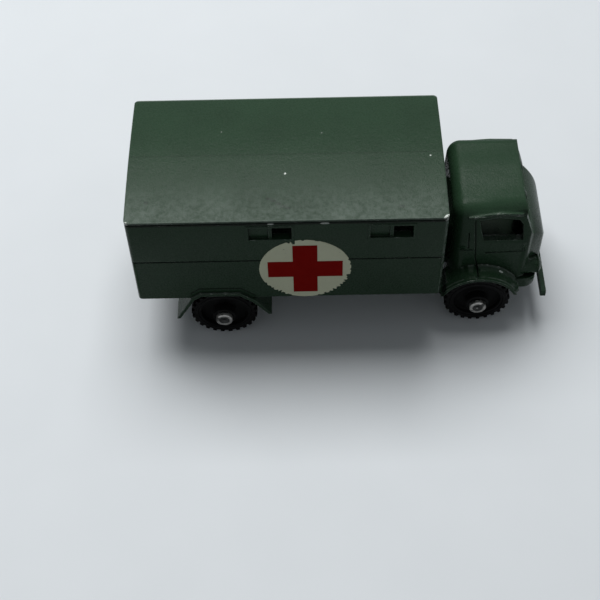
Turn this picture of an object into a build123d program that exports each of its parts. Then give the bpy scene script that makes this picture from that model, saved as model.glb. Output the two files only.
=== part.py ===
from build123d import *
import math
import os

os.makedirs("parts", exist_ok=True)

# A small die-cast toy ambulance lorry, in millimetres.
# X runs forward, Y to the vehicle's left, Z up from the ground; X = 0 is half way along the toy.

# Wheels, each moulded in one piece with its knobbly tread
wheel_radius = 5.14
wheel_width = 3.98
tread_depth = 0.42
lug_count = 25
rim_radius = 3.64
rim_dish_depth = 0.77
hub_boss_radius = 1.77
hub_boss_length = 0.75
rear_track_width = 23.85
front_track_width = 20.87
wheelbase_length = 39.65
rear_overhang_length = 12.92

# Wire axles with their formed heads
axle_radius = 0.8
axle_fit_clearance = 0.06
axle_head_radius = 1.27
axle_head_thickness = 0.66
axle_hollow_radius = 0.66
axle_hollow_depth = 0.39
wheel_side_clearance = 0.08

# Box body
box_length = 46.38
box_width = 24.52
box_bottom_height = 9.66
eave_height = 27.66
ridge_rise_height = 0.61
roof_camber_height = 0.12
box_wall_thickness = 1.21
box_roof_thickness = 1.33
box_corner_radius = 0.66
groove_width = 0.31
groove_depth = 0.22
side_groove_height = 18.63
eave_groove_height = 27.19

# Side windows of the box: a low raised frame, its rear light blind and its front light open
side_window_length = 6.96
side_window_height = 3.37
side_window_centre_height = 24.9
side_window_frame_width = 0.35
side_window_frame_depth = 0.11
side_window_divider_width = 0.5
side_window_recess_depth = 0.39
side_window_divider_depth = 0.17
rear_window_length_from_tail = 20.76
front_window_length_from_tail = 38.32

# Rear doors of the box
door_pair_width = 18.77
door_bottom_height = 10.93
door_top_height = 25.84
door_window_width = 4.97
door_window_height = 4.64
door_window_centre_width = 9.28
door_window_centre_height = 21.42
door_hinge_height = 1.44
door_hinge_width = 0.88
door_hinge_depth = 0.22
door_hinge_inset_height = 2.43
door_handle_length = 2.65
door_handle_width = 0.55
door_handle_height = 16.79

# Rear mudguards: a sheet bent over each wheel, its rim standing proud of the box side
mudguard_thickness = 0.5
mudguard_rim_depth = 0.44
mudguard_inner_width = 15.46
mudguard_groove_clearance = 1.05

# Cab
cab_gap_length = 1.38
cab_web_width = 9.94
cab_belt_width = 17.01
cab_shoulder_width = 14.47
cab_bottom_height = 7.95
cab_belt_height = 17.01
cab_gutter_height = 22.09
cab_shoulder_height = 23.74
cab_apex_height = 24.79
cab_shoulder_radius = 2.6
cab_crown_radius = 16.01
cab_back_radius = 2.1
cab_roof_length = 10.82
cab_brow_length = 2.98
cab_screen_run_length = 1.66
cab_screen_base_height = 17.34
cab_wall_thickness = 1.1
cab_corner_radius = 1.66
seam_width = 0.24
seam_depth = 0.18
gutter_depth = 0.22
gutter_thickness = 0.39
screen_light_height = 3.64
screen_light_width = 5.41
screen_light_base_height = 18.0
screen_post_width = 0.88
window_corner_width = 0.39

# Nose and its grille
nose_length = 2.21
nose_back_width = 13.91
nose_front_width = 10.6
nose_lid_fall_height = 2.65
nose_bottom_height = 7.07
nose_corner_radius = 1.44
nose_wall_thickness = 1.1
nose_front_side_thickness = 1.55
nose_root_length = 3.31
grille_slot_count = 9
grille_slot_width = 0.42
grille_width = 6.63
grille_height = 5.3
grille_centre_height = 10.71
grille_depth = 0.5

# Front wings, the apron ahead of them and the lamps
wing_width = 21.87
wing_opening_radius = 5.91
wing_thickness = 0.88
wing_inner_width = 14.58
wing_edge_width = 0.55
wing_foot_height = 7.51
wing_lip_thickness = 0.46
wing_lip_depth = 0.33
apron_width = 17.89
apron_top_height = 8.5
apron_bottom_height = 6.52
apron_setback_length = 0.66
apron_corner_radius = 2.1
lamp_radius = 1.38
lamp_centre_width = 14.14
lamp_centre_height = 9.94
lamp_length = 2.87
lamp_setback_length = 0.66
lamp_lens_length = 0.5
lamp_lens_radius = 0.77

# Base plate with its rails, blank panel, axle lugs and bumper
plate_thickness = 1.21
plate_top_height = 10.27
plate_clearance = 0.12
plate_neck_width = 11.37
plate_tip_width = 7.29
wheel_well_clearance = 0.88
rail_centre_width = 7.51
rail_width = 1.21
rail_depth = 1.66
rail_end_length = 0.66
rail_nose_length = 2.21
panel_length = 19.88
panel_width = 5.08
panel_depth = 0.28
axle_lug_radius = 1.88
axle_lug_width = 1.77
wheel_to_lug_clearance = 0.33
bumper_length = 20.32
bumper_height = 1.38
bumper_thickness = 0.77
bumper_reach_length = 0.83
bumper_corner_width = 0.28
bumper_centre_height = 6.07
bumper_iron_depth = 0.88
bumper_iron_clearance = 0.12

# Rivets that join the two castings
post_radius = 1.77
spigot_radius = 1.05
spigot_clearance = 0.04
rivet_head_radius = 1.66
rivet_head_thickness = 0.44
rear_post_length_from_tail = 4.64
front_post_length_from_screen = 0.11

# Transfers on the box sides
disc_radius = 6.85
disc_centre_height = 16.51
disc_length_from_tail = 25.73
disc_film_thickness = 0.06
cross_length = 11.15
cross_arm_width = 3.64
cross_film_thickness = 0.04

# Outer path of a rear mudguard, from its rear foot over the wheel to its front foot
mudguard_path = (
    {"ahead_of_axle": -7.4, "height": 4.86},
    {"ahead_of_axle": -4.8, "height": 9.88},
    {"ahead_of_axle": -3.42, "height": 10.99},
    {"ahead_of_axle": 2.93, "height": 10.99},
    {"ahead_of_axle": 5.14, "height": 9.11},
    {"ahead_of_axle": 7.45, "height": 5.69},
)

# Outline of the cab's side windows
side_light_outline = (
    {"ahead_of_back": 4.8, "above_belt": 0.55},
    {"ahead_of_back": 3.92, "above_belt": 4.31},
    {"ahead_of_back": 6.74, "above_belt": 4.8},
    {"ahead_of_back": 9.88, "above_belt": 4.36},
    {"ahead_of_back": 10.49, "above_belt": 3.53},
    {"ahead_of_back": 10.77, "above_belt": 0.55},
)

# Straight seams pressed into the cab's sides: the door's rear edge in two runs, the quarter
# panel's slot and line, and the line below the window
cab_seams = (
    {"from_back": 3.31, "from_height": 21.42, "to_back": 3.92, "to_height": 13.58},
    {"from_back": 3.92, "from_height": 13.58, "to_back": 4.42, "to_height": 11.49},
    {"from_back": 2.65, "from_height": 15.9, "to_back": 2.54, "to_height": 19.11},
    {"from_back": 0.33, "from_height": 15.46, "to_back": 3.42, "to_height": 15.46},
    {"from_back": 5.3, "from_height": 14.69, "to_back": 11.37, "to_height": 15.02},
)

# The rain gutter's three points over the side window
gutter_path = (
    {"ahead_of_back": 2.32, "above_gutter": -0.11},
    {"ahead_of_back": 6.74, "above_gutter": 0.55},
    {"ahead_of_back": 10.27, "above_gutter": 0.28},
)

# Places worked out from the sizes above
overall_length = (
    door_hinge_depth
    + box_length
    + cab_gap_length
    + cab_roof_length
    + cab_screen_run_length
    + nose_length
    + bumper_reach_length
)
tail_x = -overall_length / 2 + door_hinge_depth
nose_tip_x = overall_length / 2
box_front_x = tail_x + box_length
rear_axle_x = tail_x + rear_overhang_length
front_axle_x = rear_axle_x + wheelbase_length
axle_z = wheel_radius
box_side_y = box_width / 2
cab_back_x = box_front_x + cab_gap_length
roof_front_x = cab_back_x + cab_roof_length
screen_base_x = roof_front_x + cab_screen_run_length
grille_x = screen_base_x + nose_length
plate_bottom_z = plate_top_height - plate_thickness
rear_post_x = tail_x + rear_post_length_from_tail
front_post_x = screen_base_x + front_post_length_from_screen
wing_side_y = wing_width / 2
wing_inner_y = wing_inner_width / 2
side_window_places = (tail_x + rear_window_length_from_tail, tail_x + front_window_length_from_tail)


def box_form(inset, roof_inset, bottom_z):
    """The box body with its cambered roof, or its straight-sided core drawn in by the insets."""
    half = box_side_y - inset
    eave_z = eave_height - roof_inset
    ridge_z = eave_z + ridge_rise_height
    middle_z = (eave_z + ridge_z) / 2 + roof_camber_height
    with BuildPart() as form:
        with BuildSketch(Plane.YZ.offset(tail_x + inset)):
            with BuildLine():
                Polyline((-half, eave_z), (-half, bottom_z), (half, bottom_z), (half, eave_z))
                if inset:
                    Polyline((half, eave_z), (0, ridge_z), (-half, eave_z))
                else:
                    ThreePointArc((half, eave_z), (half / 2, middle_z), (0, ridge_z))
                    ThreePointArc((0, ridge_z), (-half / 2, middle_z), (-half, eave_z))
            make_face()
        extrude(amount=box_length - 2 * inset)
        if not inset:
            fillet(form.edges().filter_by(Axis.Z), radius=box_corner_radius)
    return form.part


def cab_prism(spread):
    """The cab's cross section, grown by the spread and drawn out along the cab."""
    belt_y = cab_belt_width / 2
    shoulder_y = cab_shoulder_width / 2
    with BuildPart() as form:
        with BuildSketch(Plane.YZ.offset(cab_back_x)) as section:
            with BuildLine():
                Polyline(
                    (-belt_y, cab_bottom_height),
                    (-belt_y, cab_belt_height),
                    (-shoulder_y, cab_shoulder_height),
                    (0, cab_apex_height),
                    (shoulder_y, cab_shoulder_height),
                    (belt_y, cab_belt_height),
                    (belt_y, cab_bottom_height),
                    close=True,
                )
            make_face()
            rows = section.vertices().group_by(Axis.Y)
            fillet(rows[-1], radius=cab_crown_radius)
            shoulders = [point for point in section.vertices() if abs(point.Y - cab_shoulder_height) < seam_depth]
            fillet(shoulders, radius=cab_shoulder_radius)
            if spread:
                offset(amount=spread)
        extrude(amount=screen_base_x - cab_back_x)
    return form.part


def cab_form():
    """The cab: its section cut to the brow and screen, rounded at the back and the front corners."""
    brow_z = (cab_gutter_height + cab_apex_height) / 2
    with BuildPart() as form:
        add(cab_prism(0))
        back_edges = [
            edge
            for edge in form.faces().sort_by(Axis.X)[0].edges()
            if edge.center().Z > cab_bottom_height + seam_depth
        ]
        fillet(back_edges, radius=cab_back_radius)
        with BuildSketch(Plane.XZ):
            with BuildLine():
                top = Line((cab_back_x, cab_apex_height), (roof_front_x - cab_brow_length, cab_apex_height))
                brow = ThreePointArc(
                    top @ 1,
                    (roof_front_x - cab_brow_length / 4, brow_z + cab_brow_length / 3),
                    (roof_front_x, cab_gutter_height),
                )
                Polyline(
                    brow @ 1,
                    (screen_base_x, cab_screen_base_height),
                    (screen_base_x, 0),
                    (cab_back_x, 0),
                    top @ 0,
                )
            make_face()
        extrude(amount=cab_belt_width, both=True, mode=Mode.INTERSECT)
        with BuildSketch(Plane.XY) as plan:
            with Locations(((cab_back_x + screen_base_x) / 2, 0)):
                Rectangle(screen_base_x - cab_back_x, cab_belt_width)
            fillet(plan.vertices().group_by(Axis.X)[-1], radius=cab_corner_radius)
        extrude(amount=overall_length, mode=Mode.INTERSECT)
    return form.part


def cab_core_form():
    """The straight-sided core that leaves the cab hollow."""
    back_x = cab_back_x + cab_wall_thickness
    belt_y = cab_belt_width / 2 - cab_wall_thickness
    shoulder_y = cab_shoulder_width / 2 - cab_wall_thickness
    crown_z = cab_shoulder_height - cab_wall_thickness / 2
    with BuildPart() as form:
        with BuildSketch(Plane.XZ):
            with BuildLine():
                Polyline(
                    (back_x, 0),
                    (back_x, crown_z - cab_wall_thickness),
                    (back_x + cab_wall_thickness, crown_z),
                    (roof_front_x - cab_brow_length - cab_wall_thickness, crown_z),
                    (roof_front_x - cab_wall_thickness, cab_gutter_height - cab_wall_thickness / 2),
                    (screen_base_x - cab_wall_thickness, cab_screen_base_height),
                    (screen_base_x - cab_wall_thickness, 0),
                    close=True,
                )
            make_face()
        extrude(amount=cab_belt_width, both=True)
        with BuildSketch(Plane.YZ):
            with BuildLine():
                Polyline(
                    (-belt_y, 0),
                    (-belt_y, cab_belt_height),
                    (-shoulder_y, crown_z - cab_wall_thickness),
                    (cab_wall_thickness - shoulder_y, crown_z),
                    (shoulder_y - cab_wall_thickness, crown_z),
                    (shoulder_y, crown_z - cab_wall_thickness),
                    (belt_y, cab_belt_height),
                    (belt_y, 0),
                    close=True,
                )
            make_face()
        extrude(amount=overall_length, both=True, mode=Mode.INTERSECT)
    return form.part


def nose_form(inset, bottom_z):
    """The snub nose ahead of the windscreen, drawn in by the inset."""
    root_x = screen_base_x - nose_root_length
    front_z = cab_screen_base_height - nose_lid_fall_height
    with BuildPart() as form:
        with BuildSketch(Plane.XZ):
            with BuildLine():
                back = Line((root_x, bottom_z), (root_x, cab_screen_base_height))
                lid = ThreePointArc(
                    back @ 1,
                    (screen_base_x + nose_length / 2, cab_screen_base_height - nose_lid_fall_height / 3),
                    (grille_x, front_z),
                )
                front = Line(lid @ 1, (grille_x, bottom_z))
                Line(front @ 1, back @ 0)
            make_face()
            if inset:
                offset(amount=-inset)
        extrude(amount=nose_back_width, both=True)
        with BuildSketch(Plane.XY.offset(bottom_z)) as plan:
            with BuildLine():
                Polyline(
                    (root_x, -nose_back_width / 2),
                    (screen_base_x, -nose_back_width / 2),
                    (grille_x, -nose_front_width / 2),
                    (grille_x, nose_front_width / 2),
                    (screen_base_x, nose_back_width / 2),
                    (root_x, nose_back_width / 2),
                    close=True,
                )
            make_face()
            fillet(plan.vertices().group_by(Axis.X)[-1], radius=nose_corner_radius)
            if inset:
                offset(amount=-inset)
        extrude(amount=overall_length, mode=Mode.INTERSECT)
    return form.part


def nose_core_form():
    """The straight-sided core that leaves the nose hollow."""
    root_x = screen_base_x - nose_root_length
    front_x = grille_x - nose_wall_thickness
    top_z = cab_screen_base_height - nose_wall_thickness
    with BuildPart() as form:
        with BuildSketch(Plane.XZ):
            with BuildLine():
                Polyline(
                    (root_x, 0),
                    (root_x, top_z),
                    (screen_base_x, top_z),
                    (front_x, top_z - nose_lid_fall_height),
                    (front_x, 0),
                    close=True,
                )
            make_face()
        extrude(amount=nose_back_width, both=True)
        with BuildSketch(Plane.XY):
            with BuildLine():
                Polyline(
                    (root_x, -nose_back_width / 2 + nose_wall_thickness),
                    (screen_base_x - nose_wall_thickness / 2, -nose_back_width / 2 + nose_wall_thickness),
                    (front_x, -nose_front_width / 2 + nose_front_side_thickness),
                    (front_x, nose_front_width / 2 - nose_front_side_thickness),
                    (screen_base_x - nose_wall_thickness / 2, nose_back_width / 2 - nose_wall_thickness),
                    (root_x, nose_back_width / 2 - nose_wall_thickness),
                    close=True,
                )
            make_face()
        extrude(amount=overall_length, mode=Mode.INTERSECT)
    return form.part


def mudguard_groove_outline(rise):
    """The upper part of the mudguard's path moved straight up by the rise."""
    run = [(rear_axle_x + row["ahead_of_axle"], row["height"] + rise) for row in mudguard_path]
    return (
        (run[1][0], box_bottom_height),
        *run[1:-1],
        (run[-2][0], box_bottom_height),
    )


def mudguard_outline(spread):
    """The mudguard's path moved outwards by the spread, closed below the ground."""
    run = [(rear_axle_x + row["ahead_of_axle"], row["height"] + spread) for row in mudguard_path]
    first_x = run[0][0] - spread
    last_x = run[-1][0] + spread
    inner = run[1:-1]
    return (
        (first_x - spread, -wheel_radius),
        (first_x, run[0][1] - spread),
        (inner[0][0] - spread, inner[0][1] - spread / 2),
        (inner[1][0] - spread / 2, inner[1][1]),
        (inner[2][0] + spread / 2, inner[2][1]),
        (inner[3][0] + spread, inner[3][1] - spread / 2),
        (last_x, run[-1][1] - spread),
        (last_x + spread, -wheel_radius),
    )


def below_feet_outline():
    """Everything below the line that joins a mudguard's two feet."""
    rear = mudguard_path[0]
    front = mudguard_path[-1]
    fall = (front["height"] - rear["height"]) / (front["ahead_of_axle"] - rear["ahead_of_axle"])
    reach = 2 * wheel_radius
    return (
        (rear_axle_x - reach, rear["height"] - fall * (reach + rear["ahead_of_axle"])),
        (rear_axle_x + reach, front["height"] + fall * (reach - front["ahead_of_axle"])),
        (rear_axle_x + reach, -2 * wheel_radius),
        (rear_axle_x - reach, -2 * wheel_radius),
    )


def mudguard_form():
    """The two rear mudguards, each a bent sheet from behind its wheel out to a proud rim."""
    depth = box_side_y + mudguard_rim_depth - mudguard_inner_width / 2
    with BuildPart() as form:
        with BuildSketch(Plane.XZ.offset(mudguard_inner_width / 2)):
            with BuildLine():
                Polyline(*mudguard_outline(0), close=True)
            make_face()
            with BuildLine():
                Polyline(*mudguard_outline(-mudguard_thickness), close=True)
            make_face(mode=Mode.SUBTRACT)
            with BuildLine():
                Polyline(*below_feet_outline(), close=True)
            make_face(mode=Mode.SUBTRACT)
        extrude(amount=depth)
        mirror(about=Plane.XZ)
    return form.part


def wing_form():
    """The two front wings, arched over the wheels, each with a lip at its edge."""
    inner_face = Plane.XZ.offset(wing_inner_y)
    reach = 2 * wing_opening_radius
    with BuildPart() as form:
        with BuildSketch(inner_face):
            with Locations((front_axle_x, axle_z)):
                Circle(wing_opening_radius + wing_thickness)
            with Locations((front_axle_x, wing_foot_height - reach)):
                Rectangle(2 * reach, 2 * reach, mode=Mode.SUBTRACT)
        extrude(amount=wing_side_y - wing_inner_y)
        outer_rim = form.faces().sort_by(Axis.Y)[0].edges().filter_by(GeomType.CIRCLE)
        chamfer(outer_rim, length=wing_edge_width)
        with BuildSketch(inner_face):
            with Locations((front_axle_x, axle_z)):
                Circle(wing_opening_radius + wing_lip_thickness)
            with Locations((front_axle_x, wing_foot_height - reach)):
                Rectangle(2 * reach, 2 * reach, mode=Mode.SUBTRACT)
        extrude(amount=wing_side_y - wing_inner_y + wing_lip_depth)
        mirror(about=Plane.XZ)
    return form.part


def apron_form():
    """The low apron that joins the two wings under the lamps."""
    back_x = front_axle_x + wing_opening_radius
    front_x = grille_x - apron_setback_length
    with BuildPart() as form:
        with BuildSketch(Plane.XY.offset(apron_bottom_height)) as plan:
            with BuildLine():
                Polyline(
                    (back_x, -apron_width / 2),
                    (front_x, -apron_width / 2),
                    (front_x, apron_width / 2),
                    (back_x, apron_width / 2),
                    close=True,
                )
            make_face()
            fillet(plan.vertices().group_by(Axis.X)[-1], radius=apron_corner_radius)
        extrude(amount=apron_top_height - apron_bottom_height)
    return form.part


def lamp_form():
    """The two round lamps beside the nose, each with its blunt lens, their tails inside the cab."""
    face_x = grille_x - lamp_setback_length
    with BuildPart() as form:
        with BuildSketch(Plane.XZ.offset(lamp_centre_width / 2)):
            with BuildLine():
                Polyline(
                    (face_x - lamp_length, lamp_centre_height),
                    (face_x + lamp_lens_length, lamp_centre_height),
                    (face_x + lamp_lens_length, lamp_centre_height + lamp_lens_radius),
                    (face_x, lamp_centre_height + lamp_radius),
                    (face_x - lamp_length, lamp_centre_height + lamp_radius),
                    close=True,
                )
            make_face()
        revolve(axis=Axis((0, -lamp_centre_width / 2, lamp_centre_height), (1, 0, 0)))
        mirror(about=Plane.XZ)
    return form.part


def front_post_form():
    """The rivet post inside the nose, trimmed to the shape of the lid above it."""
    with BuildPart() as form:
        with BuildSketch(Plane.XY.offset(plate_top_height)):
            with Locations((front_post_x, 0)):
                Circle(post_radius)
        extrude(amount=cab_screen_base_height - plate_top_height)
        add(nose_form(nose_wall_thickness / 2, 0), mode=Mode.INTERSECT)
    return form.part


def gutter_form():
    """The rain gutters over the cab doors, following the cab's side."""
    with BuildPart() as form:
        with BuildSketch(Plane.XZ):
            with BuildLine():
                Polyline(
                    *[
                        (cab_back_x + row["ahead_of_back"], cab_gutter_height + row["above_gutter"])
                        for row in gutter_path
                    ]
                )
            trace(line_width=gutter_thickness)
        extrude(amount=cab_belt_width, both=True)
        add(cab_prism(gutter_depth), mode=Mode.INTERSECT)
    return form.part


def cab_seams_form():
    """The seams pressed into the cab's sides, as one cutting form."""
    with BuildPart() as form:
        with BuildSketch(Plane.XZ):
            for row in cab_seams:
                with BuildLine():
                    Line(
                        (cab_back_x + row["from_back"], row["from_height"]),
                        (cab_back_x + row["to_back"], row["to_height"]),
                    )
                trace(line_width=seam_width)
        extrude(amount=cab_belt_width, both=True)
        add(cab_prism(-seam_depth), mode=Mode.SUBTRACT)
    return form.part


# Body casting: box, cab, nose, wings and mudguards in one hollow casting
with BuildPart() as body_casting:
    add(box_form(0, 0, box_bottom_height))
    with BuildSketch(Plane.XY.offset(plate_top_height)):
        with Locations(((box_front_x + cab_back_x) / 2, 0)):
            Rectangle(cab_gap_length + cab_wall_thickness, cab_web_width)
    extrude(amount=cab_belt_height - plate_top_height)
    add(cab_form())
    add(nose_form(0, nose_bottom_height))
    add(gutter_form())
    add(wing_form())
    add(apron_form())
    add(lamp_form())

    # The hollows, open below, and the round front wheel wells
    add(box_form(box_wall_thickness, box_roof_thickness, 0), mode=Mode.SUBTRACT)
    add(cab_core_form(), mode=Mode.SUBTRACT)
    add(nose_core_form(), mode=Mode.SUBTRACT)
    with BuildSketch(Plane.XZ.offset(plate_neck_width / 2)):
        with Locations((front_axle_x, axle_z)):
            Circle(wing_opening_radius)
    wheel_well = extrude(amount=wing_side_y, mode=Mode.SUBTRACT)
    mirror(wheel_well, about=Plane.XZ, mode=Mode.SUBTRACT)
    with BuildSketch(Plane.XY):
        with Locations(((box_front_x + cab_back_x) / 2, 0)):
            Rectangle(
                cab_gap_length + 2 * box_wall_thickness + 2 * cab_wall_thickness,
                plate_neck_width + 2 * plate_clearance,
            )
    extrude(amount=plate_top_height, mode=Mode.SUBTRACT)

    # Rear mudguards in their openings, each with a groove in the box side above it
    with BuildSketch(Plane.XZ):
        with BuildLine():
            Polyline(*mudguard_outline(0), close=True)
        make_face()
    extrude(amount=box_width, both=True, mode=Mode.SUBTRACT)
    add(mudguard_form())
    with BuildSketch(Plane.XZ.offset(box_side_y - groove_depth)):
        with BuildLine():
            Polyline(*mudguard_groove_outline(mudguard_groove_clearance), close=True)
        make_face()
        with BuildLine():
            Polyline(*mudguard_groove_outline(mudguard_groove_clearance - groove_width), close=True)
        make_face(mode=Mode.SUBTRACT)
    mudguard_groove = extrude(amount=groove_depth, mode=Mode.SUBTRACT)
    mirror(mudguard_groove, about=Plane.XZ, mode=Mode.SUBTRACT)

    # Grooves along the box sides
    with BuildSketch(Plane.YZ.offset(tail_x)):
        for groove_z in (side_groove_height, eave_groove_height):
            for side_y in (-box_side_y, box_side_y):
                with Locations((side_y, groove_z)):
                    Rectangle(2 * groove_depth, groove_width)
    extrude(amount=box_length, mode=Mode.SUBTRACT)

    # Side windows of the box: raised frame, sunk field with its divider, open front light
    field_length = side_window_length - 2 * side_window_frame_width
    field_height = side_window_height - 2 * side_window_frame_width
    light_length = (field_length - side_window_divider_width) / 2
    light_shift = (light_length + side_window_divider_width) / 2
    for window_x in side_window_places:
        with BuildSketch(Plane.XZ.offset(box_side_y - box_wall_thickness / 2)):
            with Locations((window_x, side_window_centre_height)):
                Rectangle(side_window_length, side_window_height)
        frame = extrude(amount=box_wall_thickness / 2 + side_window_frame_depth)
        mirror(frame, about=Plane.XZ)
        with BuildSketch(Plane.XZ.offset(box_side_y - side_window_recess_depth)):
            with Locations((window_x, side_window_centre_height)):
                Rectangle(field_length, field_height)
        field = extrude(amount=box_wall_thickness, mode=Mode.SUBTRACT)
        mirror(field, about=Plane.XZ, mode=Mode.SUBTRACT)
        with BuildSketch(Plane.XZ):
            with Locations((window_x + light_shift, side_window_centre_height)):
                Rectangle(light_length, field_height)
        extrude(amount=box_width, both=True, mode=Mode.SUBTRACT)
        with BuildSketch(Plane.XZ.offset(box_side_y - box_wall_thickness / 2)):
            with Locations((window_x, side_window_centre_height)):
                Rectangle(side_window_divider_width, field_height)
        divider = extrude(amount=box_wall_thickness / 2 - side_window_divider_depth)
        mirror(divider, about=Plane.XZ)

    # Rear doors: seams, windows, hinges and the handle
    door_middle_height = (door_bottom_height + door_top_height) / 2
    with BuildSketch(Plane.YZ.offset(tail_x)):
        with Locations((0, door_middle_height)):
            Rectangle(door_pair_width, door_top_height - door_bottom_height)
            Rectangle(
                door_pair_width - 2 * groove_width,
                door_top_height - door_bottom_height - 2 * groove_width,
                mode=Mode.SUBTRACT,
            )
            Rectangle(groove_width, door_top_height - door_bottom_height)
    extrude(amount=groove_depth, mode=Mode.SUBTRACT)
    with BuildSketch(Plane.YZ.offset(tail_x - door_hinge_depth)) as door_windows:
        with Locations((0, door_window_centre_height)):
            with GridLocations(door_window_centre_width, 1, 2, 1):
                Rectangle(door_window_width, door_window_height)
        chamfer(door_windows.vertices(), length=window_corner_width)
    extrude(amount=2 * box_wall_thickness, mode=Mode.SUBTRACT)
    hinge_heights = (
        door_bottom_height + door_hinge_inset_height,
        door_middle_height,
        door_top_height - door_hinge_inset_height,
    )
    with BuildSketch(Plane.YZ.offset(tail_x)):
        for hinge_height in hinge_heights:
            with Locations((0, hinge_height)):
                with GridLocations(door_pair_width + door_hinge_width, 1, 2, 1):
                    Rectangle(door_hinge_width, door_hinge_height)
        with Locations((0, door_handle_height)):
            Rectangle(door_handle_length, door_handle_width)
    extrude(amount=-door_hinge_depth)

    # Cab windows, the split windscreen and the pressed seams
    with BuildSketch(Plane.XZ):
        with BuildLine():
            Polyline(
                *[
                    (cab_back_x + row["ahead_of_back"], cab_belt_height + row["above_belt"])
                    for row in side_light_outline
                ],
                close=True,
            )
        make_face()
    extrude(amount=cab_belt_width, both=True, mode=Mode.SUBTRACT)
    with BuildSketch(Plane.YZ.offset(roof_front_x - 2 * cab_wall_thickness)) as screen_lights:
        with Locations((0, screen_light_base_height + screen_light_height / 2)):
            with GridLocations(screen_light_width + screen_post_width, 1, 2, 1):
                Rectangle(screen_light_width, screen_light_height)
        chamfer(screen_lights.vertices(), length=window_corner_width)
    extrude(amount=nose_tip_x - roof_front_x, mode=Mode.SUBTRACT)
    add(cab_seams_form(), mode=Mode.SUBTRACT)

    # Grille of upright slots
    with BuildSketch(Plane.YZ.offset(grille_x - grille_depth)):
        with Locations((0, grille_centre_height)):
            with GridLocations(grille_width / grille_slot_count, 1, grille_slot_count, 1):
                Rectangle(grille_slot_width, grille_height)
    extrude(amount=2 * grille_depth, mode=Mode.SUBTRACT)

    # Rivet posts, their spigots and the heads spun under the base plate
    with BuildSketch(Plane.XY.offset(plate_top_height)):
        with Locations((rear_post_x, 0)):
            Circle(post_radius)
    extrude(amount=eave_height - box_roof_thickness / 2 - plate_top_height)
    add(front_post_form())
    with BuildSketch(Plane.XY.offset(plate_bottom_z - rivet_head_thickness)):
        with Locations((rear_post_x, 0), (front_post_x, 0)):
            Circle(spigot_radius)
    extrude(amount=plate_thickness + rivet_head_thickness)
    with BuildSketch(Plane.XY.offset(plate_bottom_z - rivet_head_thickness)):
        with Locations((rear_post_x, 0), (front_post_x, 0)):
            Circle(rivet_head_radius)
    extrude(amount=rivet_head_thickness)

body_casting.part.label = "body_casting"
export_step(body_casting.part, "parts/body_casting.step")


# Base plate: the floor casting, held up inside the body by the two rivets
box_floor_rear_x = tail_x + box_wall_thickness + plate_clearance
box_floor_front_x = box_front_x - box_wall_thickness - plate_clearance
box_floor_width = box_width - 2 * box_wall_thickness - 2 * plate_clearance
neck_front_x = screen_base_x - cab_wall_thickness
plate_tip_x = grille_x - nose_wall_thickness - 2 * plate_clearance
rail_front_x = grille_x - rail_nose_length
iron_top_z = apron_bottom_height - bumper_iron_clearance
axle_table = (
    {"axle_x": rear_axle_x, "track_width": rear_track_width},
    {"axle_x": front_axle_x, "track_width": front_track_width},
)

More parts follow.
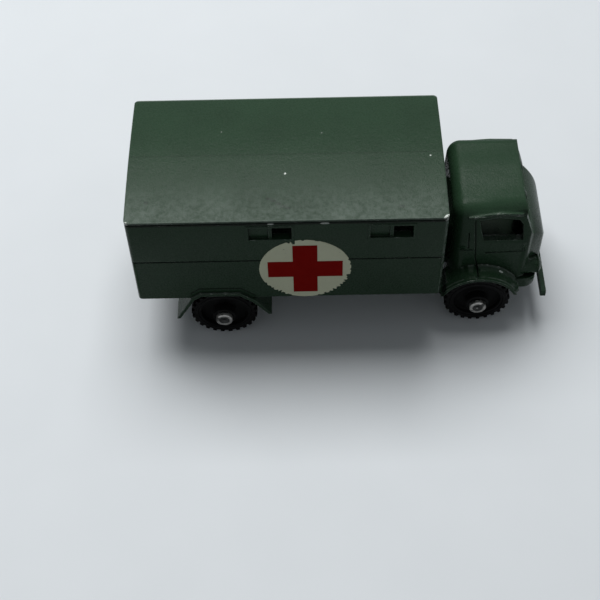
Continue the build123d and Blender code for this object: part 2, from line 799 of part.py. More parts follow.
with BuildPart() as base_plate:
    with BuildSketch(Plane.XY.offset(plate_bottom_z)):
        with Locations(((box_floor_rear_x + box_floor_front_x) / 2, 0)):
            Rectangle(box_floor_front_x - box_floor_rear_x, box_floor_width)
        with Locations((rear_axle_x, 0)):
            with GridLocations(1, rear_track_width, 1, 2):
                Rectangle(
                    2 * (wheel_radius + wheel_well_clearance),
                    2 * (wheel_width + wheel_well_clearance),
                    mode=Mode.SUBTRACT,
                )
        with BuildLine():
            Polyline(
                (box_floor_front_x - cab_wall_thickness, -plate_neck_width / 2),
                (neck_front_x, -plate_neck_width / 2),
                (plate_tip_x, -plate_tip_width / 2),
                (plate_tip_x, plate_tip_width / 2),
                (neck_front_x, plate_neck_width / 2),
                (box_floor_front_x - cab_wall_thickness, plate_neck_width / 2),
                close=True,
            )
        make_face()
        with Locations((rear_post_x, 0), (front_post_x, 0)):
            Circle(spigot_radius + spigot_clearance, mode=Mode.SUBTRACT)
    extrude(amount=plate_thickness)

    # Two chassis rails and the blank panel between them, pressed down from the plate
    with BuildSketch(Plane.XY.offset(plate_bottom_z)):
        with Locations(((box_floor_rear_x + rail_front_x) / 2, 0)):
            with GridLocations(1, rail_centre_width, 1, 2):
                Rectangle(rail_front_x - box_floor_rear_x - 2 * rail_end_length, rail_width)
    extrude(amount=-rail_depth)
    with BuildSketch(Plane.XY.offset(plate_bottom_z)):
        Rectangle(panel_length, panel_width)
    extrude(amount=-panel_depth)

    # Lugs that carry the wire axles
    for axle in axle_table:
        lug_outside_y = axle["track_width"] / 2 - wheel_width - wheel_to_lug_clearance
        with BuildSketch(Plane.XZ.offset(lug_outside_y - axle_lug_width)):
            with Locations((axle["axle_x"], axle_z)):
                Circle(axle_lug_radius)
            with Locations((axle["axle_x"], (axle_z + plate_top_height) / 2)):
                Rectangle(2 * axle_lug_radius, plate_top_height - axle_z)
        lug = extrude(amount=axle_lug_width)
        mirror(lug, about=Plane.XZ)
        with BuildSketch(Plane.XZ):
            with Locations((axle["axle_x"], axle_z)):
                Circle(axle_radius + axle_fit_clearance)
        extrude(amount=box_width, both=True, mode=Mode.SUBTRACT)

    # Bumper and the two irons that carry it out under the apron
    with BuildSketch(Plane.XY.offset(iron_top_z)):
        with Locations(((rail_front_x + nose_tip_x - bumper_thickness / 2) / 2, 0)):
            with GridLocations(1, rail_centre_width, 1, 2):
                Rectangle(nose_tip_x - bumper_thickness / 2 - rail_front_x, rail_width)
    extrude(amount=-bumper_iron_depth)
    with BuildSketch(Plane.XY.offset(iron_top_z - bumper_iron_depth)):
        with Locations((rail_front_x, 0)):
            with GridLocations(1, rail_centre_width, 1, 2):
                Rectangle(rail_width, rail_width)
    extrude(amount=plate_bottom_z - iron_top_z + bumper_iron_depth)
    with BuildSketch(Plane.YZ.offset(nose_tip_x - bumper_thickness)) as bumper:
        with Locations((0, bumper_centre_height)):
            Rectangle(bumper_length, bumper_height)
        chamfer(bumper.vertices(), length=bumper_corner_width)
    extrude(amount=bumper_thickness)

base_plate.part.label = "base_plate"
export_step(base_plate.part, "parts/base_plate.step")


def axle_form(axle_x, track_width):
    """A wire axle with its two formed heads."""
    head_y = track_width / 2 + hub_boss_length + wheel_side_clearance
    end_y = head_y + axle_head_thickness
    with BuildPart() as form:
        with BuildSketch(Plane.YZ.offset(axle_x)):
            with BuildLine():
                Polyline(
                    (0, axle_z),
                    (0, axle_z + axle_radius),
                    (head_y, axle_z + axle_radius),
                    (head_y, axle_z + axle_head_radius),
                    (end_y, axle_z + axle_head_radius),
                    (end_y, axle_z + axle_hollow_radius),
                    (end_y - axle_hollow_depth, axle_z),
                    close=True,
                )
            make_face()
        revolve(axis=Axis((axle_x, 0, axle_z), (0, 1, 0)))
        mirror(about=Plane.XZ)
    return form.part


with BuildPart() as rear_axle:
    add(axle_form(rear_axle_x, rear_track_width))
rear_axle.part.label = "rear_axle"
export_step(rear_axle.part, "parts/rear_axle.step")

with BuildPart() as front_axle:
    add(axle_form(front_axle_x, front_track_width))
front_axle.part.label = "front_axle"
export_step(front_axle.part, "parts/front_axle.step")


def wheel_form():
    """One wheel on the Y axis, its inner face at Y = 0 and its hub facing +Y."""
    root_radius = wheel_radius - tread_depth
    bore_radius = axle_radius + axle_fit_clearance
    lug_pitch = 360 / lug_count
    lug_width = 2 * root_radius * math.tan(math.radians(lug_pitch / 4))
    row_width = wheel_width / 2
    with BuildPart() as form:
        for row_y, turn in ((0, 0), (row_width, lug_pitch / 2)):
            with BuildSketch(Plane.XZ.offset(-row_y)):
                RegularPolygon(
                    root_radius,
                    2 * lug_count,
                    major_radius=False,
                    rotation=lug_pitch / 4 - 90,
                )
                with PolarLocations(root_radius, lug_count, start_angle=turn - 90):
                    Rectangle(2 * tread_depth, lug_width)
            extrude(amount=-row_width)
        with BuildSketch(Plane.XZ.offset(-wheel_width)):
            Circle(rim_radius)
        extrude(amount=rim_dish_depth, mode=Mode.SUBTRACT)
        with BuildSketch(Plane.XZ.offset(-wheel_width + rim_dish_depth)):
            Circle(hub_boss_radius)
        extrude(amount=-rim_dish_depth - hub_boss_length)
        with BuildSketch(Plane.XZ):
            Circle(bore_radius)
        extrude(amount=-wheel_width - hub_boss_length, mode=Mode.SUBTRACT)
    return form.part


wheel = wheel_form()
wheel_table = (
    {"name": "wheel_rear_left", "axle_x": rear_axle_x, "track_width": rear_track_width, "side": 1},
    {"name": "wheel_rear_right", "axle_x": rear_axle_x, "track_width": rear_track_width, "side": -1},
    {"name": "wheel_front_left", "axle_x": front_axle_x, "track_width": front_track_width, "side": 1},
    {"name": "wheel_front_right", "axle_x": front_axle_x, "track_width": front_track_width, "side": -1},
)
for row in wheel_table:
    inner_y = row["track_width"] / 2 - wheel_width
    with BuildPart() as placed_wheel:
        with Locations((row["axle_x"], inner_y, axle_z)):
            add(wheel)
        if row["side"] < 0:
            mirror(about=Plane.XZ, mode=Mode.REPLACE)
    placed_wheel.part.label = row["name"]
    export_step(placed_wheel.part, f"parts/{row['name']}.step")


# Transfers: a white disc and a red cross on each side of the box
for side_name, side in (("left", 1), ("right", -1)):
    with BuildPart() as disc:
        with BuildSketch(Plane.XZ.offset(-side * box_side_y)):
            with Locations((tail_x + disc_length_from_tail, disc_centre_height)):
                Circle(disc_radius)
        extrude(amount=-side * disc_film_thickness)
    disc.part.label = f"white_disc_{side_name}"
    export_step(disc.part, f"parts/white_disc_{side_name}.step")
    with BuildPart() as cross:
        with BuildSketch(Plane.XZ.offset(-side * (box_side_y + disc_film_thickness))):
            with Locations((tail_x + disc_length_from_tail, disc_centre_height)):
                Rectangle(cross_length, cross_arm_width)
                Rectangle(cross_arm_width, cross_length)
        extrude(amount=-side * cross_film_thickness)
    cross.part.label = f"red_cross_{side_name}"
    export_step(cross.part, f"parts/red_cross_{side_name}.step")
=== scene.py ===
import bpy
import math
from mathutils import Matrix


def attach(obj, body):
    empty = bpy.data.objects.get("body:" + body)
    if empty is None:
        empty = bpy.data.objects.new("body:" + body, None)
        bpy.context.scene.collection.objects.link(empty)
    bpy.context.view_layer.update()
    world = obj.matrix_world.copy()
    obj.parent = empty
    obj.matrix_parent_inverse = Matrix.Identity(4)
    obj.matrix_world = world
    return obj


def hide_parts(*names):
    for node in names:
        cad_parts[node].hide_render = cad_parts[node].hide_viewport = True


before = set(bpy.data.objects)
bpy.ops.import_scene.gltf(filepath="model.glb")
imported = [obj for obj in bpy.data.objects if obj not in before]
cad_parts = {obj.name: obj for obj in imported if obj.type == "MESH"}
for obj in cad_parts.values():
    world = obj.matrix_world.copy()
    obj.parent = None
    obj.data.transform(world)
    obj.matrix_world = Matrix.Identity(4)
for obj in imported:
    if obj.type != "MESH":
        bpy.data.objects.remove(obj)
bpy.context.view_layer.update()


# Camera: 16 cm above the floor and 12 cm out from the toy's middle line on its right. It looks down
# on the side and the roof, and is turned a little off level.
camera_place = (-0.00517, -0.12329, 0.16096)
camera_heading = 0.014
camera_tip_down = 0.941
camera_roll = -0.030
camera_data = bpy.data.cameras.new("camera")
camera_data.lens = 73.297
camera_data.sensor_width = 36
camera_data.clip_start = 0.01
camera = bpy.data.objects.new("camera", camera_data)
camera.matrix_world = (
    Matrix.Translation(camera_place)
    @ Matrix.Rotation(camera_heading, 4, "Z")
    @ Matrix.Rotation(math.pi / 2 - camera_tip_down, 4, "X")
    @ Matrix.Rotation(camera_roll, 4, "Z")
)
bpy.context.collection.objects.link(camera)
bpy.context.scene.camera = camera
bpy.context.scene.view_settings.view_transform = "Standard"


# Body casting: zinc alloy poured under pressure into a steel die, dipped in dark green enamel
# and riveted to the base. The paint rounds its edges and is rubbed pale along the eaves, with
# chips to bare metal at the roof's corner, on the wing and where the rivets were spun.
# Its colour also carries painted shade in its hollows and under its eaves, and a painted sheen on
# the right half of its roof.
class Wire:
    """A value inside a finish. Arithmetic written on it becomes Math nodes."""

    def __init__(self, finish, socket):
        self.finish = finish
        self.socket = socket

    def math(self, operation, *values):
        return self.finish.node(
            "ShaderNodeMath", {"operation": operation}, dict(enumerate(values))
        )

    def __add__(self, other):
        return self.math("ADD", self, other)

    def __radd__(self, other):
        return self.math("ADD", other, self)

    def __sub__(self, other):
        return self.math("SUBTRACT", self, other)

    def __rsub__(self, other):
        return self.math("SUBTRACT", other, self)

    def __mul__(self, other):
        return self.math("MULTIPLY", self, other)

    def __rmul__(self, other):
        return self.math("MULTIPLY", other, self)

    def over(self, other):
        return self.math("MAXIMUM", self, other)


class Finish:
    """A material, or the room's world, being made up, with a method for each kind of node."""

    def __init__(self, name, kind=bpy.data.materials):
        self.material = kind.new(name)
        self.material.use_nodes = True
        self.tree = self.material.node_tree
        self.tree.nodes.clear()

    def node(self, kind, settings=None, values=None, output=0):
        node = self.tree.nodes.new(kind)
        for name, value in (settings or {}).items():
            setattr(node, name, value)
        for name, value in (values or {}).items():
            if isinstance(value, Wire):
                self.tree.links.new(value.socket, node.inputs[name])
            else:
                node.inputs[name].default_value = value
        return Wire(self, node.outputs[output] if node.outputs else None)

    def place(self):
        """The point of the piece that is being coloured, in metres."""
        return self.node("ShaderNodeTexCoord", output=3)

    def part_of(self, place, axis):
        """One number of a place: 0 forward, 1 to the left, 2 up."""
        return self.node("ShaderNodeSeparateXYZ", None, {0: place}, output=axis)

    def vector(self, operation, first, second, output=0):
        return self.node(
            "ShaderNodeVectorMath", {"operation": operation}, {0: first, 1: second}, output
        )

    def noise(self, where, per_metre, detail=3.0, roughness=0.55):
        values = {"Vector": where, "Scale": per_metre, "Detail": detail, "Roughness": roughness}
        return self.node("ShaderNodeTexNoise", {"noise_dimensions": "3D"}, values)

    def rise(self, value, low, high):
        """0 below the low value, 1 above the high one, and smooth in between."""
        values = {"Value": value, "From Min": low, "From Max": high}
        return self.node("ShaderNodeMapRange", {"interpolation_type": "SMOOTHSTEP"}, values)

    def blend(self, share, first, second):
        values = {0: share, 6: first, 7: second}
        return self.node("ShaderNodeMix", {"data_type": "RGBA"}, values, output=2)

    def rounded(self, radius):
        """The surface's direction, with its edges rounded to a radius."""
        return self.node("ShaderNodeBevel", {"samples": 6}, {"Radius": radius})

    def bump(self, height, strength, depth, normal=None):
        values = {"Strength": strength, "Distance": depth, "Height": height}
        if normal:
            values["Normal"] = normal
        return self.node("ShaderNodeBump", None, values)

    def openness(self, reach, samples, inside=False):
        """1 where nothing of the piece is near, 0 where it is closed in."""
        settings = {"samples": samples, "only_local": True, "inside": inside}
        return self.node("ShaderNodeAmbientOcclusion", settings, {"Distance": reach}, output=1)

    def spot(self, where, mark, ragged):
        """1 inside a ragged-edged mark, 0 outside it. Marks are given in millimetres."""
        x, y, z, reach, stretch = mark
        squash = (1.0 / stretch, 1.0, 1.0)
        centre = [squash[0] * x / 1000.0, y / 1000.0, z / 1000.0]
        squashed = self.vector("MULTIPLY", where, squash)
        gap = self.vector("DISTANCE", squashed, centre, output=1)
        return self.rise(ragged * 0.9 - gap * (1000.0 / reach), -0.62, -0.5)

    def surface(self, values):
        shader = self.node("ShaderNodeBsdfPrincipled", None, values)
        self.node("ShaderNodeOutputMaterial", None, {"Surface": shader})
        return self.material


# Colours of worn paint and painted sheen, of dirt and painted shade, and of the zinc under the
# paint
rubbed_and_sheen_pale = (0.13, 0.165, 0.14, 1.0)
dirt_and_shade_dark = (0.002, 0.004, 0.002, 1.0)
dull_zinc = (0.16, 0.18, 0.165, 1.0)
bright_zinc = (0.34, 0.36, 0.335, 1.0)

# Where the finish changes on the casting: heights, distances from the middle line and places
# along it, in metres. Each pair says where a change starts and where it is complete.
eave_from = (0.02742, 0.02756)
eave_beyond = (0.01195, 0.01212)
# The painted shadow in a broken line under the eaves
eave_shadow_from = (0.02688, 0.02698)
eave_shadow_to = (0.02748, 0.02756)
eave_shadow_beyond = (0.0119, 0.0120)
roof_from = (0.0278, 0.0280)
roof_edge_from = (0.02752, 0.02762)
ridge_within = (0.00008, 0.0002)
# The painted sheen on the right half of the roof
sheen_beyond = (0.003, 0.0135)
cab_from = (0.0152, 0.0160)
box_corner_from = (0.01434, 0.01444)
box_corner_beyond = (0.0117, 0.0119)

# The roof's slight hollows and swellings, which the bump gives to what it mirrors
box_roof_fall = 250.0
box_roof_curve = 38000.0
cab_roof_curve = 330000.0


def enamel(name, tone, dullness, chips, stains):
    """Dark green enamel over zinc, worn at its edges, with its own chips and stains, painted shade
    in its hollows and under its eaves, and a painted sheen on its roof's right half.
    """
    finish = Finish(name)
    where = finish.place()
    along = finish.part_of(where, 0)
    across = finish.part_of(finish.vector("ABSOLUTE", where, (0.0, 0.0, 0.0)), 1)
    to_the_right = 0.0 - finish.part_of(where, 1)
    height = finish.part_of(where, 2)
    broad = finish.noise(where, 160.0)
    rubbed = finish.noise(where, 1300.0, 5.0, 0.7)
    grain = finish.noise(where, 3600.0, 2.0)

    # Edges: where the rounded direction leaves the true one, but not in a hollow or on thin rims
    rounded = finish.rounded(radius=0.00028)
    true = finish.node("ShaderNodeNewGeometry", output=3)
    facing = finish.vector("DOT_PRODUCT", rounded, true, output=1)
    open_sky = finish.openness(reach=0.0009, samples=6)
    behind = finish.openness(reach=0.0006, samples=8, inside=True)
    edge = finish.rise(1.0 - facing, 0.02, 0.2) * (1.0 - finish.rise(behind, 0.6, 0.92))
    edge = edge * finish.rise(open_sky, 0.5, 0.8)

    # Wear: edges, eaves and the box's front corners rubbed pale; and a painted sheen over the right
    # half of the roof, strongest towards its eave
    on_cab = finish.rise(along, *cab_from)
    eave = finish.rise(height, *eave_from) * finish.rise(across, *eave_beyond)
    box_corner = finish.rise(along, *box_corner_from) * finish.rise(across, *box_corner_beyond)
    box_corner = box_corner * (1.0 - on_cab)
    worn = finish.rise(edge + rubbed * 0.9, 0.95, 1.35)
    worn = worn.over(finish.rise(eave + rubbed * 0.6, 1.05, 1.3))
    worn = worn.over(finish.rise(box_corner + rubbed, 1.4, 1.55))
    painted_sheen = finish.rise(rubbed, 0.34, 0.66) * 0.42 + finish.rise(broad, 0.35, 0.65) * 0.22
    painted_sheen = painted_sheen * finish.rise(to_the_right, *sheen_beyond) * finish.rise(height, *roof_edge_from)
    bare = finish.rise(edge + rubbed * 1.5, 1.82, 1.9)
    for chip in chips:
        bare = bare.over(finish.spot(where, chip, rubbed))

    # Darkening: painted shade in hollows and a painted shadow in a broken line under the eaves, a
    # faint darker line along the ridge, and dirt in the stains
    hollow_shade = 1.0 - finish.rise(open_sky, 0.3, 0.85)
    wavy = height + rubbed * 0.00025
    eave_shadow_line = finish.rise(wavy, *eave_shadow_from) * (1.0 - finish.rise(wavy, *eave_shadow_to))
    eave_shadow_line = eave_shadow_line * finish.rise(across, *eave_shadow_beyond)
    ridge = (1.0 - finish.rise(across, *ridge_within)) * finish.rise(height, *roof_from)
    dirt_and_shade = (hollow_shade * 0.85).over(eave_shadow_line * 0.92).over(ridge * 0.2)
    for stain in stains:
        dirt_and_shade = dirt_and_shade.over(finish.spot(where, stain, rubbed) * 0.5)

    # Paint, from the deepest layer to the top one: tone, then dirt and painted shade, then rubbed
    # wear and painted sheen
    deep = [channel * 0.7 for channel in tone[:3]] + [1.0]
    pale = [channel * 1.3 for channel in tone[:3]] + [1.0]
    paint = finish.blend(broad * 0.6 + grain * 0.4, deep, pale)
    paint = finish.blend(dirt_and_shade, paint, dirt_and_shade_dark)
    paint = finish.blend((worn * 0.7).over(painted_sheen), paint, rubbed_and_sheen_pale)
    metal = finish.blend(grain, dull_zinc, bright_zinc)

    box_camber = across * (box_roof_fall + across * box_roof_curve) * (1.0 - on_cab)
    camber = box_camber - across * across * cab_roof_curve * on_cab
    relief = rubbed + grain * 0.6 - camber
    return finish.surface(
        {
            "Base Color": finish.blend(bare, paint, metal),
            "Metallic": bare * 0.4,
            "Roughness": dullness + grain * 0.16 + worn * 0.1 + hollow_shade * 0.2,
            "Specular IOR Level": 0.085,
            "Normal": finish.bump(relief, strength=0.8, depth=0.00006, normal=rounded),
        }
    )


def joined_copy(name, node, smooth_to):
    """A piece with the shape of a node of the frame, its loose triangles joined and smoothed."""
    bpy.ops.object.select_all(action="DESELECT")
    piece = bpy.data.objects.new(name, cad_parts[node].data.copy())
    bpy.context.collection.objects.link(piece)
    piece.data.materials.clear()
    piece.select_set(True)
    bpy.context.view_layer.objects.active = piece
    bpy.ops.object.mode_set(mode="EDIT")
    bpy.ops.mesh.select_all(action="SELECT")
    bpy.ops.mesh.remove_doubles(threshold=0.000001)
    bpy.ops.mesh.dissolve_limited(angle_limit=math.radians(0.3))
    bpy.ops.object.mode_set(mode="OBJECT")
    bpy.ops.object.shade_smooth_by_angle(angle=math.radians(smooth_to))
    return piece


def even_normals(piece):
    """Keep the flat faces flat beside the rounded ones."""
    piece.modifiers.new("even_normals", "WEIGHTED_NORMAL").keep_sharp = True
    bpy.ops.object.modifier_apply(modifier="even_normals")


# Each mark: its centre in millimetres, its reach, and how far it is drawn out lengthways
body_chips = (
    (14.65, -12.2, 27.5, 0.6, 1.0),
    (-31.3, -12.2, 27.4, 0.4, 1.0),
    (-8.48, -3.72, 28.08, 0.19, 1.0),
    (-17.97, 4.9, 28.03, 0.14, 1.0),
    (-2.97, 4.3, 28.06, 0.13, 1.0),
    (12.9, -0.74, 28.23, 0.15, 1.0),
    (-24.43, -5.43, 28.0, 0.11, 1.6),
    (-2.85, -12.26, 27.0, 0.2, 3.0),
    (-10.6, -12.26, 27.0, 0.16, 3.0),
    (24.3, -9.4, 11.1, 0.2, 3.6),
    (-26.89, 0.0, 8.7, 1.9, 1.0),
    (28.82, 0.0, 8.7, 1.9, 1.0),
)
body_stains = (
    (-28.45, -8.66, 27.84, 0.35, 1.0),
    (-10.9, -8.3, 27.9, 0.24, 2.0),
    (-10.2, -8.7, 27.9, 0.24, 2.0),
    (-9.5, -9.2, 27.9, 0.24, 2.0),
    (-8.8, -9.7, 27.9, 0.24, 2.0),
    (-8.1, -10.0, 27.9, 0.24, 2.0),
    (8.19, -10.07, 27.9, 0.3, 1.6),
)
body_green = (0.0185, 0.0430, 0.0225, 1.0)
body_dullness = 0.20
casting_smooth_to = 38
body_paint = enamel("body_paint", body_green, body_dullness, body_chips, body_stains)
body_shell = joined_copy("body_shell", "body_casting", casting_smooth_to)
even_normals(body_shell)
body_shell.data.materials.append(body_paint)
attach(body_shell, "toy_body")
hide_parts("body_casting")


# Base plate: the second zinc casting, with its chassis rails, axle lugs and bumper. It is riveted
# under the body and wears the same enamel, duller from handling.
base_green = (0.0180, 0.0390, 0.0225, 1.0)
base_dullness = 0.34
base_paint = enamel("base_paint", base_green, base_dullness, chips=(), stains=())
base_shell = joined_copy("base_shell", "base_plate", casting_smooth_to)
even_normals(base_shell)
base_shell.data.materials.append(base_paint)
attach(base_shell, "toy_body")
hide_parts("base_plate")


# Lamps: two round lamps cast in one with the body and dipped with it, so they are the same
# green. Each has a raised bead round its domed lens.
lamp_out = 0.00707
lamp_height = 0.00994
lens_centre = 0.02922
lens_radius = 0.00174
lens_cut = 0.03015
bead_front = 0.03026
bead_radius = 0.00138
bead_thickness = 0.00012
for side_name, side in (("left", 1), ("right", -1)):
    bpy.ops.object.select_all(action="DESELECT")
    bpy.ops.mesh.primitive_uv_sphere_add(
        segments=40,
        ring_count=20,
        radius=lens_radius,
        location=(lens_centre, side * lamp_out, lamp_height),
        rotation=(0, math.pi / 2, 0),
    )
    lens = bpy.context.object
    bpy.ops.object.transform_apply(location=True, rotation=True, scale=True)
    bpy.ops.object.mode_set(mode="EDIT")
    bpy.ops.mesh.select_all(action="SELECT")
    bpy.ops.mesh.bisect(
        plane_co=(lens_cut, 0, 0),
        plane_no=(1, 0, 0),
        use_fill=True,
        clear_inner=True,
        clear_outer=False,
    )
    bpy.ops.object.mode_set(mode="OBJECT")
    bpy.ops.mesh.primitive_torus_add(
        major_radius=bead_radius,
        minor_radius=bead_thickness,
        major_segments=48,
        minor_segments=12,
        location=(bead_front, side * lamp_out, lamp_height),
        rotation=(0, math.pi / 2, 0),
    )
    bpy.ops.object.transform_apply(location=True, rotation=True, scale=True)
    lens.select_set(True)
    bpy.context.view_layer.objects.active = lens
    bpy.ops.object.join()
    bpy.ops.object.shade_smooth_by_angle(angle=math.radians(40))
    lens.name = "lamp_lens_" + side_name
    lens.data.materials.append(body_paint)
    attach(lens, "toy_body")


# Axles: soft steel wire, a head formed over at each end with a hollow punched in its middle.
# The hollow is darkened with painted shade, and the steel has dark smears of dirt.
axle_height = 0.00514
front_axle_x = 0.02104
rear_axle_x = -0.01861
hollow_edge = (0.00095, 0.00112)
bright_steel = (0.40, 0.39, 0.37, 1.0)
# Painted shade in the heads' hollows, and dark smears of dirt
shade_and_dirt_black = (0.008, 0.008, 0.007, 1.0)


def headed_wire(name, axle_x):
    """Bright turned-over steel round a hollow darkened with painted shade, on the axle's own line.
    """
    steel = Finish(name)
    where = steel.place()
    grain = steel.noise(where, 2200.0, 4.0, 0.6)
    smear = steel.noise(where, 700.0, 3.0)
    flat = steel.vector("MULTIPLY", where, (1.0, 0.0, 1.0))
    gap = steel.vector("DISTANCE", flat, (axle_x, 0.0, axle_height), output=1)
    hollow = 1.0 - steel.rise(gap + grain * 0.0004, *hollow_edge)
    glints = steel.rise(grain, 0.6, 0.68) * 0.5
    # Painted shade in the hollow, and dirt in smears
    dirt_and_shade = (hollow * (1.0 - glints)).over(steel.rise(smear, 0.5, 0.62) * 0.9)
    return steel.surface(
        {
            "Base Color": steel.blend(dirt_and_shade, bright_steel, shade_and_dirt_black),
            "Metallic": 1.0 - dirt_and_shade * 0.8,
            "Roughness": 0.3 + grain * 0.2,
            "Normal": steel.bump(
                grain, strength=0.6, depth=0.00006, normal=steel.rounded(radius=0.0003)
            ),
        }
    )


for node, axle_x in (("front_axle", front_axle_x), ("rear_axle", rear_axle_x)):
    axle = joined_copy(node + "_wire", node, 40)
    even_normals(axle)
    axle.data.materials.append(headed_wire(node + "_steel", axle_x))
    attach(axle, "toy_body")
    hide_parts(node)


# Wheels: one-piece black plastic mouldings, pushed on the wires before their heads are formed.
# The mould softens their knobbly tread, and leaves a raised ring round the outer sidewall.
clean_black = (0.0015, 0.0015, 0.0015, 1.0)
dusty_black = (0.007, 0.007, 0.007, 1.0)
plastic = Finish("wheel_plastic")
plastic_place = plastic.place()
plastic_grain = plastic.noise(plastic_place, 2600.0, 3.0)
plastic_dust = plastic.rise(plastic.noise(plastic_place, 420.0, 4.0, 0.6), 0.45, 0.8)
wheel_plastic = plastic.surface(
    {
        "Base Color": plastic.blend(plastic_dust, clean_black, dusty_black),
        "Roughness": 0.48 + plastic_grain * 0.2,
        "Specular IOR Level": 0.08,
        "Normal": plastic.bump(plastic_grain, strength=0.3, depth=0.00003),
    }
)
lug_rounding = 0.00012
ring_radius = 0.00418
ring_thickness = 0.00014
front_ring_out = 0.010435
rear_ring_out = 0.011925
wheel_places = (
    ("front_left", front_axle_x, front_ring_out),
    ("front_right", front_axle_x, -front_ring_out),
    ("rear_left", rear_axle_x, rear_ring_out),
    ("rear_right", rear_axle_x, -rear_ring_out),
)
for corner, wheel_x, ring_y in wheel_places:
    wheel = joined_copy("knobbly_wheel_" + corner, "wheel_" + corner, 30)
    softened = wheel.modifiers.new("softened", "BEVEL")
    softened.width = lug_rounding
    softened.segments = 2
    softened.limit_method = "ANGLE"
    softened.angle_limit = math.radians(40)
    bpy.ops.object.modifier_apply(modifier="softened")
    bpy.ops.mesh.primitive_torus_add(
        major_radius=ring_radius,
        minor_radius=ring_thickness,
        major_segments=72,
        minor_segments=10,
        location=(wheel_x, ring_y, axle_height),
        rotation=(math.pi / 2, 0, 0),
    )
    bpy.ops.object.transform_apply(location=True, rotation=True, scale=True)
    wheel.select_set(True)
    bpy.context.view_layer.objects.active = wheel
    bpy.ops.object.join()
    bpy.ops.object.shade_smooth_by_angle(angle=math.radians(45))
    even_normals(wheel)
    wheel.data.materials.append(wheel_plastic)
    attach(wheel, corner + "_wheel")
    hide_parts("wheel_" + corner)


# Transfers: on each side a thin white disc with a red cross printed over it. The discs' edges
# have torn away in bites and saw-teeth, most at the front and along the bottom.
aged_white = (0.64, 0.67, 0.48, 1.0)
fresh_white = (0.74, 0.77, 0.58, 1.0)
fleck_green = (0.10, 0.12, 0.09, 1.0)
white = Finish("white_print")
white_place = white.place()
white_fleck = white.noise(white_place, 2100.0, 3.0, 0.6)
white_tone = white.blend(white.noise(white_place, 320.0, 4.0), aged_white, fresh_white)
white_dirt = white.rise(white_fleck, 0.66, 0.74) * 0.5
white_print = white.surface(
    {
        "Base Color": white.blend(white_dirt, white_tone, fleck_green),
        "Roughness": 0.42 + white_fleck * 0.2,
        "Specular IOR Level": 0.06,
        "Normal": white.bump(white_fleck, strength=0.3, depth=0.00002),
    }
)
deep_red = (0.22, 0.0035, 0.0025, 1.0)
bright_red = (0.28, 0.0060, 0.0040, 1.0)
red = Finish("red_print")
red_place = red.place()
red_fleck = red.noise(red_place, 2100.0, 3.0, 0.6)
red_print = red.surface(
    {
        "Base Color": red.blend(red.noise(red_place, 500.0, 4.0), deep_red, bright_red),
        "Roughness": 0.40 + red_fleck * 0.2,
        "Specular IOR Level": 0.02,
        "Normal": red.bump(red_fleck, strength=0.3, depth=0.00002),
    }
)
# Bites out of the disc's edge: direction from its middle in degrees, width in degrees, share kept
bites = (
    (105.5, 4, 0.89),
    (110, 4, 0.95),
    (92, 3, 0.97),
    (75, 3, 0.985),
    (18, 3, 0.975),
    (8, 3, 0.98),
    (-2, 3, 0.975),
    (-15, 4, 0.93),
    (-19, 5, 0.965),
    (-26, 3, 0.94),
    (-31, 4, 0.97),
    (-37, 3, 0.945),
    (-43, 4, 0.965),
    (-50, 3, 0.945),
    (-56, 4, 0.97),
    (-64, 3, 0.96),
    (-72, 3, 0.98),
    (-112, 5, 0.975),
    (-120, 4, 0.96),
    (-126, 3, 0.925),
    (-130, 4, 0.96),
    (-137, 3, 0.965),
    (-143, 4, 0.975),
    (-151, 3, 0.98),
)
disc_radius = 0.00685
disc_x = -0.0058
disc_z = 0.01651
disc_thickness = 0.00006
torn_roughness = 0.00004
box_side = 0.01226
for side_name, side, seed in (("left", 1, 5), ("right", -1, 2)):
    disc_middle = (disc_x, side * (box_side + disc_thickness), disc_z)
    bpy.ops.object.select_all(action="DESELECT")
    bpy.ops.mesh.primitive_circle_add(
        vertices=240,
        radius=disc_radius,
        fill_type="NGON",
        location=disc_middle,
        rotation=(math.pi / 2 * -side, 0, 0),
    )
    disc = bpy.context.object
    disc.name = "torn_disc_" + side_name
    bpy.ops.object.transform_apply(location=True, rotation=True, scale=True)
    bpy.ops.object.mode_set(mode="EDIT")
    for direction, width, kept in bites:
        bpy.ops.mesh.select_all(action="DESELECT")
        bpy.ops.object.mode_set(mode="OBJECT")
        for point in disc.data.vertices:
            turn = math.degrees(math.atan2(point.co.z - disc_z, point.co.x - disc_x))
            point.select = abs((turn - direction + 180) % 360 - 180) < width / 2
        bpy.ops.object.mode_set(mode="EDIT")
        bpy.ops.transform.resize(value=(kept, 1, kept), center_override=disc_middle)
    bpy.ops.mesh.select_all(action="SELECT")
    bpy.ops.transform.vertex_random(offset=torn_roughness, seed=seed)
    bpy.ops.transform.resize(value=(1, 0, 1), center_override=disc_middle)
    inwards = (0, -side * disc_thickness, 0)
    bpy.ops.mesh.extrude_region_move(TRANSFORM_OT_translate={"value": inwards})
    bpy.ops.mesh.select_all(action="SELECT")
    bpy.ops.mesh.normals_make_consistent(inside=False)
    bpy.ops.object.mode_set(mode="OBJECT")
    disc.data.materials.append(white_print)
    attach(disc, "toy_body")
    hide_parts("white_disc_" + side_name)
    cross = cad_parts["red_cross_" + side_name]
    cross.data.materials.clear()
    cross.data.materials.append(red_print)


# Floor: a plain pale sheet under the toy, which takes its shadow. Far from the toy it fades to
# the pale of the backdrop for whatever looks at it or mirrors it.
def looked_at(finish):
    """1 where a surface is seen, mirrored or seen through something, 0 where it lights others."""
    seen = finish.node("ShaderNodeLightPath", output=0)
    mirrored = finish.node("ShaderNodeLightPath", output=3)
    seen_through = finish.node("ShaderNodeLightPath", output=6)
    return seen.over(mirrored).over(seen_through)


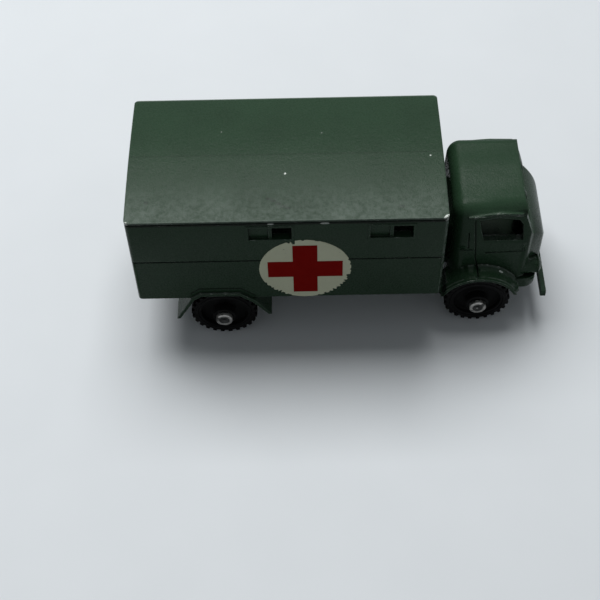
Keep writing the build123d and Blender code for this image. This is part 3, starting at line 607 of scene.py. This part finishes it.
backdrop_pale = (0.70, 0.74, 0.77, 1.0)
sheet_as_light = (0.26, 0.27, 0.28, 1.0)
sheet_shade = (0.66, 0.695, 0.72, 1.0)
sheet_bright = (0.70, 0.735, 0.76, 1.0)
fade_from, fade_to = 0.12, 0.4
bpy.ops.object.select_all(action="DESELECT")
bpy.ops.mesh.primitive_plane_add(size=3.0, location=(0, 0, 0))
floor = bpy.context.object
floor.name = "floor"
sheet = Finish("floor")
sheet_place = sheet.place()
sheet_pale = sheet.blend(sheet.noise(sheet_place, 60.0, 2.0), sheet_shade, sheet_bright)
sheet_seen = looked_at(sheet)
sheet_colour = sheet.blend(sheet_seen, sheet_as_light, sheet_pale)
near_sheet = sheet.node(
    "ShaderNodeBsdfPrincipled", None, {"Base Color": sheet_colour, "Roughness": 0.8}
)
far_sheet = sheet.node("ShaderNodeEmission", None, {"Color": backdrop_pale, "Strength": 1.0})
from_toy = sheet.vector("DISTANCE", sheet_place, (0.0, 0.0, 0.0), output=1)
fade = sheet_seen * sheet.rise(from_toy, fade_from, fade_to)
faded = sheet.node("ShaderNodeMixShader", None, {0: fade, 1: near_sheet, 2: far_sheet})
sheet.node("ShaderNodeOutputMaterial", None, {"Surface": faded})
floor.data.materials.append(sheet.material)


# Light: a broad soft lamp above and behind the toy, in a dim even room. The room shows as pale
# as the floor wherever it is looked at or mirrored.
lamp_along, lamp_back, lamp_up = -0.12, 0.215, 0.533
lamp_data = bpy.data.lights.new("overhead_lamp", "AREA")
lamp_data.shape = "RECTANGLE"
lamp_data.size = 0.52
lamp_data.size_y = 0.34
lamp_data.energy = 3.7
lamp = bpy.data.objects.new("overhead_lamp", lamp_data)
lamp.location = (lamp_along, lamp_back, lamp_up)
lamp.rotation_euler = (-math.atan2(lamp_back, lamp_up), 0, 0)
bpy.context.collection.objects.link(lamp)
room_dim = (0.158, 0.165, 0.17, 1.0)
room = Finish("room", bpy.data.worlds)
room_colour = room.blend(looked_at(room), room_dim, backdrop_pale)
background = room.node("ShaderNodeBackground", None, {"Color": room_colour, "Strength": 1.0})
room.node("ShaderNodeOutputWorld", None, {"Surface": background})
bpy.context.scene.world = room.material
